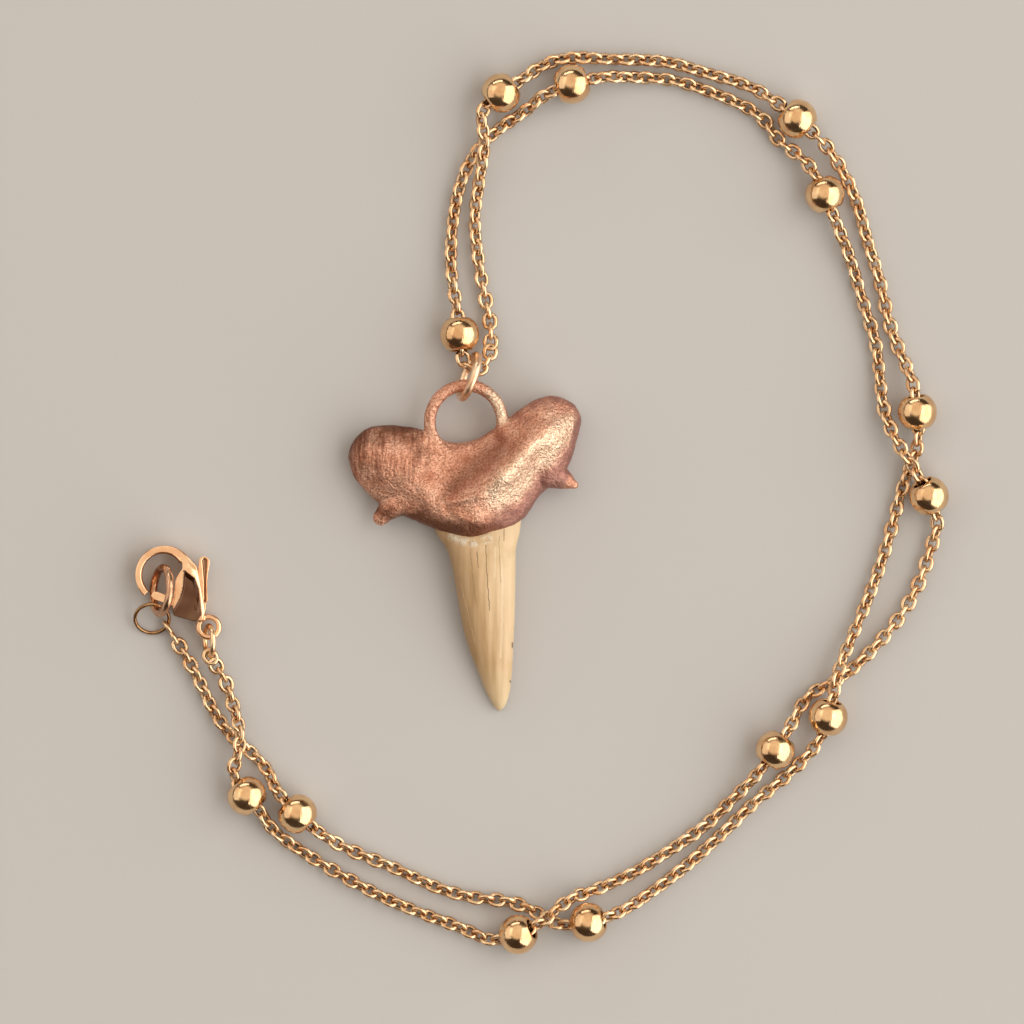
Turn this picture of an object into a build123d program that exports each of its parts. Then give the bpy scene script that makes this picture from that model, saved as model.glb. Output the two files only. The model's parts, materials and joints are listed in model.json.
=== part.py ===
from build123d import *
import math
import os

# A shark tooth necklace, laid flat as a doubled loop. X runs to the right and Y to the top as seen from
# above, the underside lies at Z = 0, and the origin is the middle of the underside.

# General clearances between pieces
piece_gap = 0.1
tooth_gap = 0.1
pin_fit = 0.02
lever_fit = 0.05
lever_side_gap = 0.1

# Cable chain with hollow beads. Each half of the chain is a tube of the links' outer width.
chain_width = 1.6
link_length = 2.0
link_width = 1.65
link_wire = 0.42
bead_diameter = 4.2
bead_bore = 2.05
bend_share = 0.45

# Copper cap on the root of the tooth, with its bail
root_width = 24.8
root_height = 14.9
root_thickness = 7.0
root_left = -20.65
root_foot = -3.35
copper_wall = 0.6
saddle_height = 10.13
bail_opening = 6.46
bail_wire = 1.22
bail_x = -8.1
bail_sink = 1.76
bail_height = 2.85

# Blade of the tooth below the copper
blade_length = 19.2
blade_width = 9.2
blade_thickness = 4.5
blade_left = -11.4
blade_join = 0.75
blade_rise = 0.75

# Blunt side points of the tooth, under the copper. Each runs from a base to a tip, given as shares of the
# root's width and height.
cusplet_radius = 1.3
left_point_radius = 0.85
right_point_radius = 0.6
cusplet_height = 2.2
left_point_base = (0.18, 0.285)
left_point_tip = (0.135, 0.145)
right_point_base = (0.905, 0.445)
right_point_tip = (0.96, 0.385)

# Round rings of wire
pendant_ring_diameter = 5.6
pendant_ring_wire = 0.87
pendant_ring_heading = -109.5
pendant_ring_lean = 77.5
pendant_ring_sag = 0.22
pendant_ring_gap = 0.32
hook_ring_diameter = 5.7
hook_ring_wire = 0.85
hook_ring_heading = -95.4
hook_ring_lean = 67.0
hook_ring_from_claw = (-0.33, -1.63, 1.1)
end_ring_diameter = 4.0
end_ring_wire = 0.4
end_ring_lean = 32.0
end_ring_from_hook_ring = (-1.07, -2.99, -1.5)
eye_ring_diameter = 3.7
eye_ring_wire = 0.6
eye_ring_heading = -89.0
eye_ring_lean = 72.0
eye_ring_height = 1.83
eye_ring_reach = 0.1
end_link_a_heading = -55.0
end_link_b_heading = -54.5
end_link_b_angle = -30.0

# Lobster clasp, drawn in its own plane: U runs from the eye to the claw and V to the side of the gate
clasp_x = -35.35
clasp_y = -12.88
clasp_height = 1.6
clasp_heading = 131.8
clasp_thickness = 3.1
clasp_rounding = 0.35
eye_diameter = 2.65
eye_hole = 1.6
eye_thickness = 1.3
eye_rounding = 0.2
claw_diameter = 6.3
claw_bar = 0.62
claw_depth = 1.9
claw_u = 7.2
claw_v = -0.2
claw_start = -95.0
claw_turn = 188.0
claw_corner = 0.4
pivot_u = 2.3
pivot_v = -0.5
pin_diameter = 0.7
hub_diameter = 1.7
lever_thickness = 0.9
gate_width = 0.7
gate_reach = 5.05
gate_angle = 32.8
thumb_width = 1.0
thumb_reach = 5.3
thumb_angle = -49.0
gate_slot_reach = 3.3
thumb_slot_reach = 4.8
lever_swing = 16.0

chain_lies = chain_width / 2
bead_rests = bead_diameter / 2
bail_radius = (bail_opening + bail_wire) / 2
bail_y = root_foot + saddle_height + bail_radius - bail_sink


# Chosen points along the middle of each half of the chain: X, Y, the lift from lying on the table (0) to the
# middle of a resting bead (1), and the share of the run to the next point at which a bead sits (0 for none).
strand_a_route = [
    (-5.5, 16.8, 0.73, 0),
    (-5.5, 14.6, 1.3, 0),
    (-8.5, 14.3, 1.3, 0.68),
    (-8.9, 19.9, 0.86, 0),
    (-9.8, 25.0, 0, 0),
    (-9.6, 30.1, 0, 0),
    (-8.7, 34.5, 0, 0),
    (-6.9, 37.9, 0, 0),
    (-4.4, 40.2, 0, 0),
    (-2.0, 41.6, 0.23, 0),
    (0.4, 43.8, 1, 0.5),
    (5.8, 45.5, 1, 0),
    (10.4, 45.4, 0, 0),
    (13.8, 45.2, 0, 0),
    (17.2, 44.1, 0, 0),
    (20.5, 42.8, 0, 0),
    (23.4, 41.3, 0, 0),
    (25.0, 38.5, 0, 0),
    (28.5, 36.3, 1, 0.5),
    (31.3, 29.6, 1, 0),
    (32.8, 25.8, 0, 0),
    (34.0, 21.5, 0, 0),
    (35.4, 17.4, 0, 0),
    (35.8, 13.3, 0, 0),
    (36.1, 10.1, 0.54, 0),
    (37.4, 6.8, 1.44, 0),
    (39.7, 3.4, 1.58, 0.5),
    (42.2, -1.4, 0.42, 0),
    (41.2, -4.5, 0, 0),
    (40.1, -8.1, 0, 0),
    (38.1, -11.7, 0, 0),
    (34.9, -15.5, 0, 0),
    (31.3, -18.7, 0, 0),
    (28.1, -19.9, 0, 0),
    (26.2, -23.6, 1, 0.5),
    (23.1, -28.2, 1, 0),
    (20.0, -31.3, 0, 0),
    (17.3, -34.0, 0, 0),
    (13.5, -36.6, 0, 0),
    (9.3, -39.2, 0, 0),
    (5.6, -40.8, 0, 0),
    (2.7, -41.6, 1.2, 0),
    (-0.2, -44.4, 1.66, 0.5),
    (-5.0, -46.5, 0.34, 0),
    (-8.5, -44.8, 0, 0),
    (-12.8, -43.3, 0, 0),
    (-16.7, -41.7, 0, 0),
    (-20.9, -39.5, 0, 0),
    (-24.9, -37.1, 0, 0),
    (-28.5, -34.7, 0, 0),
    (-29.8, -32.5, 1, 0.46),
    (-33.1, -28.7, 1, 0),
    (-32.1, -26.1, 1.48, 0),
    (-32.0, -23.6, 1.2, 0),
    (-33.1, -20.3, 0, 0),
    (-33.7, -18.4, 0.3, 0),
]
strand_b_route = [
    (-5.5, 16.8, 0.73, 0),
    (-5.4, 19.0, 0.12, 0),
    (-6.1, 22.0, 0, 0),
    (-6.8, 25.8, 0, 0),
    (-7.3, 30.5, 0, 0),
    (-6.7, 34.5, 0.5, 0),
    (-6.2, 37.3, 1.24, 0),
    (-6.2, 39.4, 1.48, 0),
    (-6.7, 42.2, 1.08, 0.5),
    (-2.1, 45.2, 0.92, 0),
    (0.6, 47.1, 0, 0),
    (3.6, 47.6, 0, 0),
    (6.9, 47.3, 0.15, 0),
    (10.4, 47.3, 0.15, 0),
    (13.8, 47.0, 0.15, 0),
    (17.5, 45.8, 0.15, 0),
    (21.0, 44.9, 0.24, 0),
    (24.3, 43.2, 1, 0.5),
    (29.7, 38.7, 1, 0),
    (31.7, 35.8, 0.15, 0),
    (33.4, 32.3, 0, 0),
    (34.4, 28.1, 0, 0),
    (35.8, 24.0, 0, 0),
    (36.6, 19.8, 0, 0),
    (37.9, 16.2, 0, 0),
    (39.4, 13.0, 1.35, 0.5),
    (40.0, 6.8, 0.65, 0),
    (39.1, 4.4, 0, 0),
    (38.0, 1.4, 0, 0),
    (37.0, -2.6, 0, 0),
    (35.7, -6.8, 0, 0),
    (34.0, -11.2, 0, 0),
    (32.4, -14.8, 0.54, 0),
    (31.3, -17.5, 1.46, 0),
    (30.8, -20.2, 1.31, 0.5),
    (29.7, -24.6, 0.69, 0),
    (27.5, -27.2, 0, 0),
    (25.3, -29.2, 0, 0),
    (22.4, -31.5, 0, 0),
    (19.2, -34.7, 0, 0),
    (15.3, -38.2, 0, 0),
    (11.5, -41.1, 0, 0),
    (7.6, -43.5, 1.42, 0.5),
    (2.1, -44.8, 0.58, 0),
    (-0.3, -43.3, 0, 0),
    (-3.3, -41.9, 0, 0),
    (-7.3, -41.7, 0, 0),
    (-11.5, -40.5, 0, 0),
    (-15.7, -38.4, 0, 0),
    (-20.2, -36.7, 0, 0),
    (-23.8, -34.7, 1, 0.5),
    (-28.1, -30.6, 1, 0),
    (-29.1, -28.0, 0, 0),
    (-31.2, -25.9, 0, 0),
    (-33.2, -24.3, 0, 0),
    (-35.0, -21.7, 0, 0),
    (-36.3, -18.7, 0, 0),
    (-37.7, -16.2, 0, 0),
]


def route_points(rows):
    return [Vector(x, y, chain_lies + lift * (bead_rests - chain_lies)) for x, y, lift, bead in rows]


def bend_radii(points):
    radii = []
    for before, corner, after in zip(points, points[1:], points[2:]):
        turn = (corner - before).get_angle(after - corner)
        shorter = min((corner - before).length, (after - corner).length)
        radii.append(bend_share * shorter / math.tan(math.radians(turn) / 2))
    return radii


def chain_tube(points):
    """A round tube along straight runs joined by tangent arcs."""
    radii = bend_radii(points)
    path = FilletPolyline(*points, radius=radii)
    section = Plane(origin=path @ 0, z_dir=path % 0) * Circle(chain_width / 2)
    tube = sweep(section, path=path)
    expected = math.pi * chain_width**2 / 4 * path.length
    print("bend radii", [round(radius, 1) for radius in radii])
    print("length", round(path.length, 1), "volume", round(tube.volume, 2), "expected", round(expected, 2))
    return tube


def beads_on(rows):
    """A drilled ball for each bead of a route, on the line of its run."""
    points = route_points(rows)
    ball = Sphere(bead_diameter / 2) - Cylinder(bead_bore / 2, bead_diameter)
    beads = []
    for row, here, after in zip(rows, points, points[1:]):
        if row[3]:
            middle = here + (after - here) * row[3]
            beads.append(Plane(origin=middle, z_dir=after - here) * ball)
    return beads


def direction(heading):
    """The level direction at an angle from the X axis."""
    return Vector(1, 0, 0).rotate(Axis.Z, heading)


def ring_plane(middle, heading, lean):
    """The plane of a ring: its X runs along the heading, and its left side stands up by the lean."""
    across = direction(heading + 90)
    normal = Vector(0, 0, 1) * math.cos(math.radians(lean)) - across * math.sin(math.radians(lean))
    return Plane(origin=middle, x_dir=direction(heading), z_dir=normal)


def ring(plane, outer_diameter, wire):
    return plane * Torus((outer_diameter - wire) / 2, wire / 2)


def oval_link(plane):
    """A chain link: two half rings joined by two straight wires, long in the plane's X."""
    bend = (link_width - link_wire) / 2
    straight = link_length - link_width
    path = Wire(SlotCenterToCenter(straight, 2 * bend).edges())
    section = Plane(origin=path @ 0, z_dir=path % 0) * Circle(link_wire / 2)
    return plane * sweep(section, path=path)


# Copper root: sections across the root, from its left lobe to its right. The columns are the place across
# the width, the lower and upper edge as shares of the height, then the thickness over four stations from the
# lower edge to the upper one, and the lift of the underside, as shares of the thickness.
root_sections = [
    (0.000, 0.52, 0.634, 0.30, 0.36, 0.36, 0.30, 0.12),
    (0.030, 0.42, 0.695, 0.40, 0.48, 0.50, 0.42, 0.06),
    (0.080, 0.325, 0.768, 0.46, 0.58, 0.62, 0.52, 0.02),
    (0.145, 0.23, 0.795, 0.50, 0.66, 0.71, 0.57, 0),
    (0.220, 0.17, 0.79, 0.53, 0.70, 0.72, 0.58, 0),
    (0.325, 0.117, 0.76, 0.62, 0.73, 0.66, 0.56, 0),
    (0.425, 0.03, 0.68, 0.74, 0.77, 0.62, 0.52, 0),
    (0.540, 0.00, 0.68, 0.88, 0.93, 0.70, 0.52, 0),
    (0.650, 0.05, 0.80, 0.84, 1.00, 0.86, 0.56, 0),
    (0.745, 0.124, 0.916, 0.68, 0.92, 0.97, 0.64, 0),
    (0.825, 0.305, 0.99, 0.60, 0.83, 0.89, 0.66, 0),
    (0.890, 0.39, 1.00, 0.53, 0.72, 0.76, 0.60, 0),
    (0.940, 0.49, 0.975, 0.46, 0.58, 0.60, 0.50, 0.02),
    (0.975, 0.66, 0.935, 0.38, 0.46, 0.46, 0.40, 0.06),
    (1.000, 0.77, 0.885, 0.30, 0.36, 0.36, 0.30, 0.12),
]
root_stations = (0.15, 0.38, 0.62, 0.85)
root_sole = (0.82, 0.50, 0.18)
root_edge_height = 0.5

# Blade: sections down its length, with the left and right edge as shares of the width, the thickness, and how
# far the flat face still stands above the table, as a share of its rise.
blade_sections = [
    (-0.09, 0.10, 0.96, 0.98, 1.0),
    (0.01, 0.02, 0.98, 1.00, 1.0),
    (0.10, 0.13, 0.935, 0.97, 0.85),
    (0.20, 0.195, 0.93, 0.92, 0.7),
    (0.345, 0.25, 0.925, 0.86, 0.5),
    (0.47, 0.295, 0.92, 0.78, 0.35),
    (0.58, 0.345, 0.91, 0.70, 0.25),
    (0.68, 0.41, 0.90, 0.61, 0.2),
    (0.80, 0.51, 0.885, 0.50, 0.15),
    (0.895, 0.59, 0.86, 0.38, 0.15),
    (0.965, 0.67, 0.815, 0.26, 0.15),
    (1.000, 0.72, 0.765, 0.14, 0.2),
]
blade_shoulder = 0.22
blade_shoulder_height = 0.82
blade_edge_height = 0.42
blade_sole = 0.06


def moved_outline(points, distance):
    """A closed outline with each side moved outwards by a distance, or inwards if it is negative."""
    count = len(points)
    area = sum(points[i - 1][0] * points[i][1] - points[i][0] * points[i - 1][1] for i in range(count))
    side = 1 if area > 0 else -1
    moved = []
    for i in range(count):
        before, here, after = points[i - 1], points[i], points[(i + 1) % count]
        normals = []
        for start, end in ((before, here), (here, after)):
            run = math.hypot(end[0] - start[0], end[1] - start[1])
            normals.append((side * (end[1] - start[1]) / run, -side * (end[0] - start[0]) / run))
        (ax, ay), (bx, by) = normals
        spread = 1 + ax * bx + ay * by
        moved.append((here[0] + distance * (ax + bx) / spread, here[1] + distance * (ay + by) / spread))
    return moved


def root_form(sections, distance, end_gap=0):
    """The rounded bar of the root through its sections, each moved outwards, with its ends cut short."""
    faces = []
    for index, (across, low, high, *heights, lift) in enumerate(sections):
        foot, top = low * root_height, high * root_height
        reach = top - foot
        edge_low = root_edge_height * (heights[0] + lift)
        edge_high = root_edge_height * (heights[-1] + lift)
        outline = [(foot, edge_low)]
        outline += [(foot + station * reach, height) for station, height in zip(root_stations, heights)]
        outline += [(top, edge_high)]
        outline += [(foot + station * reach, lift) for station in root_sole]
        outline = [(root_foot + y, z * root_thickness) for y, z in outline]
        x = root_left + across * root_width
        if index == 0:
            x += end_gap
        if index == len(sections) - 1:
            x -= end_gap
        points = [Vector(x, y, z) for y, z in moved_outline(outline, distance)]
        faces.append(make_face(Polyline(*points, close=True)))
    return loft(faces, ruled=True)


def blade_form(sections, distance):
    faces = []
    for down, left, right, thick, lift in sections:
        reach = (right - left) * blade_width
        start = blade_left + left * blade_width
        base = lift * blade_rise
        height = thick * blade_thickness
        outline = [
            (0, blade_edge_height),
            (blade_shoulder, blade_shoulder_height),
            (0.5, 1),
            (1 - blade_shoulder, blade_shoulder_height),
            (1, blade_edge_height),
            (1 - blade_shoulder, blade_sole),
            (0.5, 0),
            (blade_shoulder, blade_sole),
        ]
        outline = [(start + across * reach, base + up * height) for across, up in outline]
        y = root_foot + blade_join - down * blade_length
        if down == sections[0][0]:
            y += distance
        points = [Vector(x, y, z) for x, z in moved_outline(outline, distance)]
        faces.append(make_face(Polyline(*points, close=True)))
    return loft(faces, ruled=True)


def cusplet(base, tip, tip_radius):
    """A small blunt side point of the tooth, under the copper."""
    ends = []
    for across, up in (base, tip):
        ends.append(Vector(root_left + across * root_width, root_foot + up * root_height, cusplet_height))
    run = ends[1] - ends[0]
    cone = Plane(origin=(ends[0] + ends[1]) / 2, z_dir=run) * Cone(cusplet_radius, tip_radius, run.length)
    return cone + Pos(*ends[1]) * Sphere(tip_radius)


def make_pendant():
    """The copper cap with its bail and side points, and the tooth inside it."""
    whole = root_form(root_sections, 0)
    bail = Pos(bail_x, bail_y, bail_height) * Torus(bail_radius, bail_wire / 2)
    left_point = cusplet(left_point_base, left_point_tip, left_point_radius)
    right_point = cusplet(right_point_base, right_point_tip, right_point_radius)
    cavity = root_form(root_sections[1:-1], -copper_wall)
    core = root_form(root_sections[1:-1], -copper_wall - tooth_gap, tooth_gap)
    copper = whole + bail + left_point + right_point - cavity - blade_form(blade_sections[:4], tooth_gap)
    tooth = core + blade_form(blade_sections, 0)
    return copper, tooth


# Outline of the clasp's two cheeks, round from the claw's back: the place along U as a share of the claw's
# own place, and V as a share of the claw's diameter.
cheek_outline = [
    (1.00, -0.53),
    (0.79, -0.53),
    (0.62, -0.43),
    (0.45, -0.31),
    (0.20, -0.13),
    (0.13, 0.00),
    (0.20, 0.11),
    (0.40, 0.26),
    (0.47, 0.31),
    (0.55, 0.25),
    (0.86, -0.14),
    (0.90, -0.33),
    (1.00, -0.42),
]


def arm(reach, width, angle):
    """A flat arm with a round end, from the pivot outwards."""
    bar = Pos(reach / 2, 0) * Rectangle(reach, width) + Pos(reach, 0) * Circle(width / 2)
    return Rot(0, 0, angle) * bar


def sector(reach, start, end):
    """A pie slice round the pivot, wide enough for all that swings between two angles."""
    middle = (start + end) / 2
    far = reach / math.cos(math.radians(end - start) / 2)
    corners = [(0, 0)]
    for angle, radius in ((start, reach), (middle, far), (end, reach)):
        corners.append((radius * math.cos(math.radians(angle)), radius * math.sin(math.radians(angle))))
    return make_face(Polyline(*corners, close=True))


def make_clasp():
    """The clasp's body, its lever and their pin, drawn in the clasp's own plane."""
    claw_radius = (claw_diameter - claw_bar) / 2
    bar = Plane.XZ * Pos(claw_radius, 0) * RectangleRounded(claw_bar, claw_depth, claw_bar * claw_corner)
    hook = revolve(bar, axis=Axis.Z, revolution_arc=claw_turn)
    claw = Pos(claw_u, claw_v, 0) * Rot(0, 0, claw_start) * hook
    outline = [(u * claw_u, v * claw_diameter) for u, v in cheek_outline]
    flank = extrude(make_face(Polyline(*outline, close=True)), amount=clasp_thickness / 2, both=True)
    flank = fillet(flank.edges().group_by(Axis.Z)[0] + flank.edges().group_by(Axis.Z)[-1], clasp_rounding)
    eye = Cylinder(eye_diameter / 2, eye_thickness)
    eye = fillet(eye.edges().filter_by(GeomType.CIRCLE), eye_rounding)
    body = flank + claw + eye - Cylinder(eye_hole / 2, clasp_thickness)

    pivot = Pos(pivot_u, pivot_v, 0)
    slot = Circle(hub_diameter / 2 + lever_side_gap)
    for angle, width, reach in (
        (gate_angle, gate_width, gate_slot_reach),
        (thumb_angle, thumb_width, thumb_slot_reach),
    ):
        slot += sector(reach, angle - lever_swing, angle)
        slot += arm(reach, width + 2 * lever_side_gap, angle)
        slot += arm(reach, width + 2 * lever_side_gap, angle - lever_swing)
    slot_height = lever_thickness + 2 * lever_side_gap
    body -= pivot * extrude(slot, amount=slot_height / 2, both=True)
    body -= pivot * Cylinder(pin_diameter / 2 + pin_fit, clasp_thickness)

    blank = Circle(hub_diameter / 2) + arm(gate_reach - gate_width / 2, gate_width, gate_angle)
    blank += arm(thumb_reach - thumb_width / 2, thumb_width, thumb_angle)
    lever = pivot * extrude(blank, amount=lever_thickness / 2, both=True)
    lever -= pivot * Cylinder(pin_diameter / 2 + lever_fit, clasp_thickness)
    pin = pivot * Cylinder(pin_diameter / 2, clasp_thickness)
    place = Pos(clasp_x, clasp_y, clasp_height) * Rot(0, 0, clasp_heading)
    print("lever pivot", place * pivot * Pos(0, 0, 0))
    return place * body, place * lever, place * pin, place


def make_rings(clasp_place):
    """The four wire rings and the two end links, each placed from what it hangs on."""
    planes = {}
    along = direction(pendant_ring_heading)
    inner = pendant_ring_diameter / 2 - pendant_ring_wire
    on_bail = Vector(bail_x, bail_y + bail_radius, bail_height - pendant_ring_sag)
    middle = on_bail - along * (inner - bail_wire / 2 - pendant_ring_gap)
    planes["pendant_ring"] = ring_plane(middle, pendant_ring_heading, pendant_ring_lean)

    claw_middle = (clasp_place * Pos(claw_u, claw_v, 0)).position
    middle = claw_middle + Vector(*hook_ring_from_claw)
    planes["hook_ring"] = ring_plane(middle, hook_ring_heading, hook_ring_lean)
    middle += Vector(*end_ring_from_hook_ring)
    planes["end_ring"] = ring_plane(middle, 0, end_ring_lean)

    along = direction(eye_ring_heading)
    reach = (eye_ring_diameter - eye_ring_wire) / 2
    eye_middle = Vector(clasp_x, clasp_y, eye_ring_height)
    middle = eye_middle + along * (reach - eye_ring_reach)
    planes["clasp_eye_ring"] = ring_plane(middle, eye_ring_heading, eye_ring_lean)

    hook_depth = link_length / 2 - link_wire - piece_gap
    start = middle + along * reach
    out = direction(end_link_a_heading)
    planes["end_link_a"] = ring_plane(start + out * (hook_depth - eye_ring_wire / 2), end_link_a_heading, 0)

    reach = (end_ring_diameter - end_ring_wire) / 2
    start = (planes["end_ring"] * Rot(0, 0, end_link_b_angle) * Pos(reach, 0, 0)).position
    start = Vector(start.X, start.Y, link_width / 2)
    out = direction(end_link_b_heading)
    planes["end_link_b"] = ring_plane(start + out * (hook_depth - end_ring_wire / 2), end_link_b_heading, 90)
    return planes


def save(name, shape):
    solids = shape.solids()
    print(name, "solids", len(solids), "volume", round(shape.volume, 2))
    export_step(Compound(solids) if len(solids) > 1 else solids[0], f"parts/{name}.step")


os.makedirs("parts", exist_ok=True)

copper, tooth = make_pendant()
save("copper_root", copper)
save("tooth", tooth)

clasp_body, clasp_lever, clasp_pin, clasp_place = make_clasp()
save("clasp_body", clasp_body)
save("clasp_lever", clasp_lever)
save("clasp_pin", clasp_pin)

ring_planes = make_rings(clasp_place)
save("pendant_ring", ring(ring_planes["pendant_ring"], pendant_ring_diameter, pendant_ring_wire))
save("hook_ring", ring(ring_planes["hook_ring"], hook_ring_diameter, hook_ring_wire))
save("end_ring", ring(ring_planes["end_ring"], end_ring_diameter, end_ring_wire))
save("clasp_eye_ring", ring(ring_planes["clasp_eye_ring"], eye_ring_diameter, eye_ring_wire))
save("end_link_a", oval_link(ring_planes["end_link_a"]))
save("end_link_b", oval_link(ring_planes["end_link_b"]))

bead_count = 0
for name, rows in (("a", strand_a_route), ("b", strand_b_route)):
    points = route_points(rows)
    link_plane = ring_planes["end_link_" + name]
    points.append(link_plane.origin + link_plane.x_dir * (link_length / 2 + piece_gap))
    points[0] += (points[1] - points[0]).normalized() * (piece_gap / 2)
    save("chain_strand_" + name, chain_tube(points))
    for bead in beads_on(rows):
        bead_count += 1
        save(f"bead_{bead_count:02d}", bead)
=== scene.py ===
import bmesh
import bpy
import json
import math
from mathutils import Matrix, Vector, noise

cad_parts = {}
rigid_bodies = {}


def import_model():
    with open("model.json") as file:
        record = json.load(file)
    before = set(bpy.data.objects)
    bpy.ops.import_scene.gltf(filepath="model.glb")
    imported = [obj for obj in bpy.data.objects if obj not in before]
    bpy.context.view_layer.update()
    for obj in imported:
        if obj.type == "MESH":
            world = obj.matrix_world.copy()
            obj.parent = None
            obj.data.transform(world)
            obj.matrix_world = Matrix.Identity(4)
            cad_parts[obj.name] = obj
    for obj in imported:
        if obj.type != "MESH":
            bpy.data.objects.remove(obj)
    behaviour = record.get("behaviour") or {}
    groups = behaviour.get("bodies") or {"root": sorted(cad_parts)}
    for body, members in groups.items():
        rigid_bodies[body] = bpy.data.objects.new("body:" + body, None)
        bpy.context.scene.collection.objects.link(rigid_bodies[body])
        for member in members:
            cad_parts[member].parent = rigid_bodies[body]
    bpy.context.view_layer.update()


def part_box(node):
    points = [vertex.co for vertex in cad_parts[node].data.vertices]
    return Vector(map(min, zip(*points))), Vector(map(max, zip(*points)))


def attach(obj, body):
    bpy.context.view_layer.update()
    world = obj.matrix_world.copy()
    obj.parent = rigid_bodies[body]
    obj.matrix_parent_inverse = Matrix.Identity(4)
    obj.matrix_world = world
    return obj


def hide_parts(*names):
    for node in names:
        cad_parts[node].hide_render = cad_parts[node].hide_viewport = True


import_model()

# The camera looks straight down on the laid necklace, from far enough that its high and low pieces keep one
# scale. The photograph's frame is 108.5 mm wide at the height of the chain's middle.
MM = 0.001
view_middle = Vector((-3.23, -0.69, 0)) * MM
view_width = 108.54 * MM
view_height = 1.5 * MM
camera_distance = 1.0
sensor_width = 36

scene_objects = bpy.context.scene.collection.objects
camera_data = bpy.data.cameras.new("camera")
camera_data.sensor_width = sensor_width
camera_data.lens = sensor_width * camera_distance / view_width
camera_data.clip_start = 0.01
camera = bpy.data.objects.new("camera", camera_data)
camera.location = view_middle + Vector((0, 0, view_height + camera_distance))
scene_objects.link(camera)
bpy.context.scene.camera = camera


# The floor is a matt pale sheet, and the light is a studio's: a soft key from the right and a little below, a
# narrow edge light from the far side, a weak fill from the left and a bright ceiling. The highlights on the
# beads and the copper show where they stand.
floor_size = 1.2
floor_colour = (0.52, 0.52, 0.53, 1)

floor_mesh = bpy.data.meshes.new("floor")
floor_form = bmesh.new()
bmesh.ops.create_grid(floor_form, x_segments=1, y_segments=1, size=floor_size / 2)
floor_form.to_mesh(floor_mesh)
floor_form.free()
floor = bpy.data.objects.new("floor", floor_mesh)
scene_objects.link(floor)
floor_paint = bpy.data.materials.new("pale_sheet")
floor_paint.use_nodes = True
floor_shader = floor_paint.node_tree.nodes["Principled BSDF"]
floor_shader.inputs["Base Color"].default_value = floor_colour
floor_shader.inputs["Roughness"].default_value = 0.9
floor_mesh.materials.append(floor_paint)


def softbox(name, place, size, power, colour):
    """A rectangular studio light that looks at the middle of the necklace."""
    light = bpy.data.lights.new(name, "AREA")
    light.shape = "RECTANGLE"
    light.size, light.size_y = size
    light.energy = power
    light.color = colour
    lamp = bpy.data.objects.new(name, light)
    lamp.location = place
    lamp.rotation_euler = (view_middle - Vector(place)).to_track_quat("-Z", "Y").to_euler()
    scene_objects.link(lamp)


softbox("key", (1.0, -0.2, 0.66), (2.5, 1.6), 28, (1.0, 0.96, 0.88))
softbox("edge", (-0.32, 1.2, 0.40), (1.0, 0.24), 2.0, (1.0, 0.96, 0.90))
softbox("fill", (-1.0, 0.2, 0.55), (1.4, 0.9), 3.8, (1.0, 0.90, 0.80))

# The room: a bright ceiling above and a little behind the piece, and dark walls that show in its polished
# metal
room_dark = (0.06, 0.045, 0.035)
room_bright = (0.95, 0.80, 0.64)
ceiling_towards = (-0.06, 0.32, 0.945)
ceiling_edge = (0.62, 0.84)
room = bpy.data.worlds.new("room")
room.use_nodes = True
nodes, links = room.node_tree.nodes, room.node_tree.links
direction = nodes.new("ShaderNodeTexCoord")
towards = nodes.new("ShaderNodeVectorMath")
towards.operation = "DOT_PRODUCT"
towards.inputs[1].default_value = ceiling_towards
links.new(direction.outputs["Generated"], towards.inputs[0])
ceiling = nodes.new("ShaderNodeMapRange")
ceiling.interpolation_type = "SMOOTHSTEP"
ceiling.inputs["From Min"].default_value, ceiling.inputs["From Max"].default_value = ceiling_edge
links.new(towards.outputs["Value"], ceiling.inputs["Value"])
glow = nodes.new("ShaderNodeMix")
glow.data_type = "RGBA"
glow.inputs["A"].default_value = (*room_dark, 1)
glow.inputs["B"].default_value = (*room_bright, 1)
links.new(ceiling.outputs["Result"], glow.inputs["Factor"])
links.new(glow.outputs["Result"], nodes["Background"].inputs["Color"])
bpy.context.scene.world = room
bpy.context.scene.view_settings.view_transform = "Standard"


# The chain is fine cable chain: oval links of round gold-plated wire, closed and soldered, each turned a
# quarter from the last. It lies doubled, and its two strands are one length that turns back through the
# pendant's ring.
link_length = 2.08 * MM
link_width = 1.72 * MM
link_wire = 0.48 * MM
link_play = 0.02 * MM
link_pitch = link_length - 2 * link_wire + link_play
link_sides = 6
link_bend_steps = 5
link_lean = 38
chain_lies = 0.86 * MM
bead_rests = 2.1 * MM

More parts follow.
